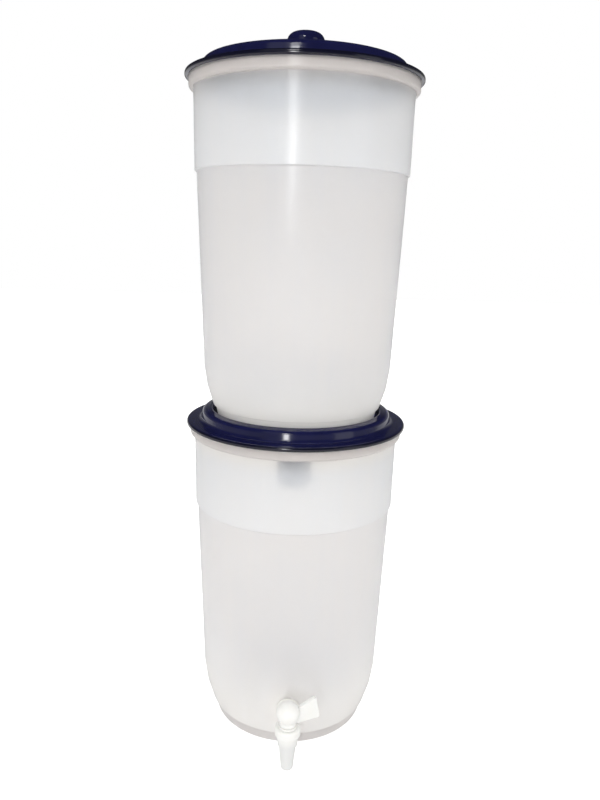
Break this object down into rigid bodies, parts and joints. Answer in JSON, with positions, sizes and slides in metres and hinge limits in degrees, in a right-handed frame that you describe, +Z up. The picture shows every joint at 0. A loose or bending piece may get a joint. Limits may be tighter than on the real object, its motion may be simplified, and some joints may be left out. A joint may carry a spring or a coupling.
{
  "type": "gravity carbon filter",
  "caption": "Translucent feed bucket stacked in the lid of a matching receiver, with a hanging carbon cup between them and a lever plug tap that drains the receiver.",
  "frame": {"origin": "middle of the lower bucket's foot ring, on the surface that it stands on", "axes": "+Z up along the axis of both buckets, -Y towards the tap, +X to the right of someone facing the tap"},
  "size_m": [0.25, 0.2847, 0.775],
  "materials": {
    "natural_plastic": "translucent natural polypropylene, smooth",
    "navy_plastic": "glossy moulded navy",
    "white_plastic": "satin moulded white",
    "steel": "bright zinc plate",
    "seal_rubber": "matte black rubber",
    "white_rubber": "soft white silicone",
    "felt": "pressed white felt",
    "carbon": "black granular carbon"
  },
  "bodies": {
    "receiver": {"lower_bucket": "natural_plastic", "tap_body": "white_plastic", "tap_outer_washer": "white_rubber", "tap_inner_washer": "white_rubber", "tap_back_nut": "white_plastic"},
    "lower_lid": {"lower_lid": "navy_plastic"},
    "feed": {"upper_bucket": "natural_plastic", "strainer_cap": "white_plastic", "filter_head": "white_plastic", "head_seal": "seal_rubber", "base_washer": "seal_rubber", "ring_nut": "white_plastic"},
    "filter_cup": {"filter_cup": "navy_plastic", "cup_gasket": "seal_rubber", "upper_pad": "felt", "carbon_bed": "carbon", "lower_pad": "felt"},
    "upper_lid": {"upper_lid": "navy_plastic", "lid_knob": "navy_plastic", "knob_washer": "steel", "knob_screw": "steel"},
    "tap_key": {"tap_plug": "white_plastic", "plug_o_rings": "seal_rubber", "tap_lever": "white_plastic"}
  },
  "joints": [
    {"name": "lower_lid_lift", "type": "slide", "parent": "receiver", "child": "lower_lid", "axis": [0, 0, 1], "range_m": [0, 0.12]},
    {"name": "feed_lift", "type": "slide", "parent": "lower_lid", "child": "feed", "axis": [0, 0, 1], "range_m": [0, 0.12]},
    {"name": "upper_lid_lift", "type": "slide", "parent": "feed", "child": "upper_lid", "axis": [0, 0, 1], "range_m": [0, 0.08]},
    {"name": "cup_lower", "type": "slide", "parent": "feed", "child": "filter_cup", "axis": [0, 0, -1], "range_m": [0, 0.05]},
    {"name": "tap_turn", "type": "hinge", "parent": "receiver", "child": "tap_key", "pos_m": [0, -0.14601, 0.055], "axis": [0, 0, 1], "range_deg": [-115, 0]}
  ]
}
